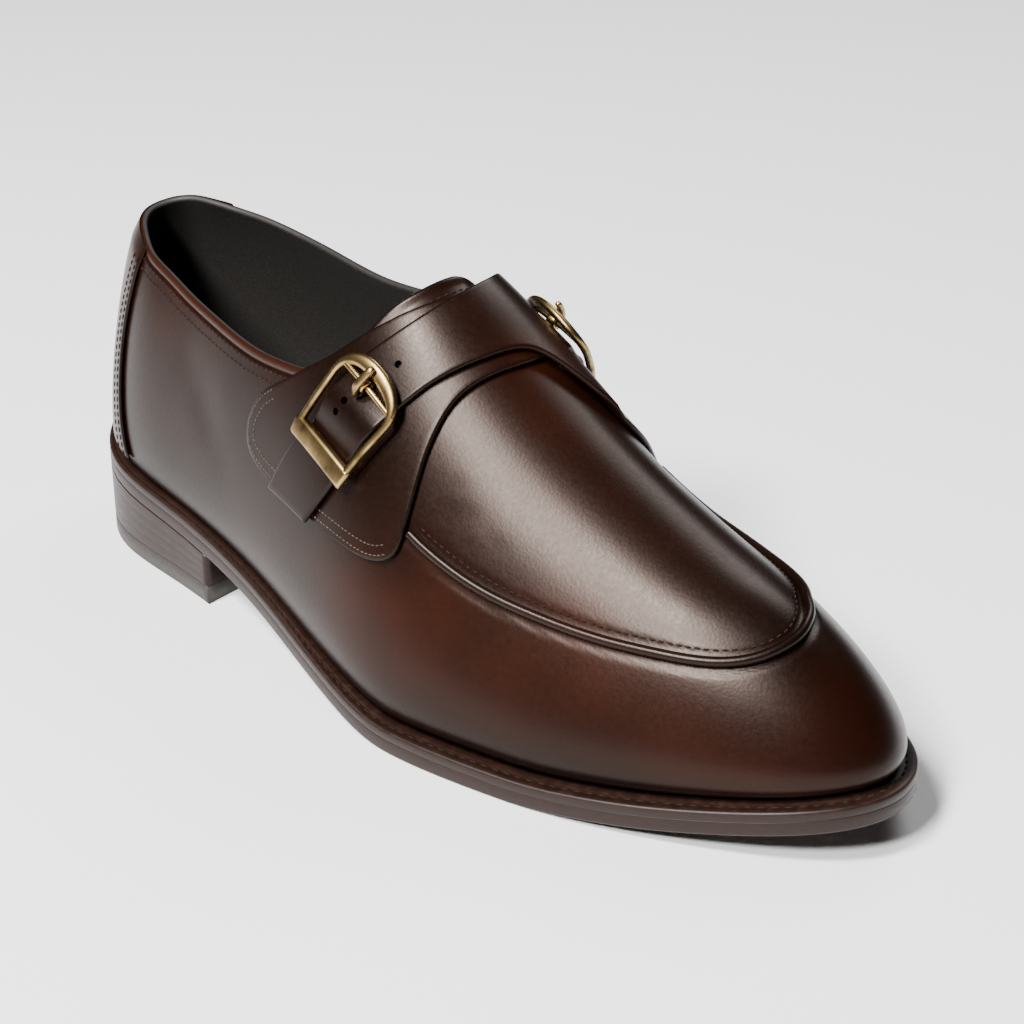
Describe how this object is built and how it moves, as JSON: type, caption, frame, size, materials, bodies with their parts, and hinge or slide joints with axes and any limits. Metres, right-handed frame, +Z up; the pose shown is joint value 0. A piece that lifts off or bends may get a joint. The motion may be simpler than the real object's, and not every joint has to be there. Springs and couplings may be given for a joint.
{
  "type": "monk strap shoe",
  "caption": "Right leather monk strap shoe with crossed straps over the instep, a brass buckle on each side, a raised apron seam, a welted leather sole and a stacked heel.",
  "frame": {"origin": "centre of the bounding box in plan, at floor level", "axes": "+X to the toe, +Y to the shoe's left, which is the inner side of the foot, +Z up"},
  "size_m": [0.305, 0.11, 0.113],
  "materials": {
    "calf": "smooth burnished dark brown calf",
    "lining": "matte black lining leather",
    "sole_edge": "stained and waxed sole leather",
    "top_piece": "dull dark heel rubber",
    "brass": "aged brass with dark hollows"
  },
  "bodies": {
    "root": {"outsole": "sole_edge", "welt": "sole_edge", "heel_stack": "sole_edge", "heel_top_piece": "top_piece", "insole": "lining", "upper": "calf", "tongue": "calf", "outer_wing": "calf", "inner_wing": "calf", "apron_piping": "calf", "heel_counter": "calf", "outer_buckle": "brass", "outer_prong": "brass", "inner_buckle": "brass", "inner_prong": "brass"}
  },
  "joints": []
}
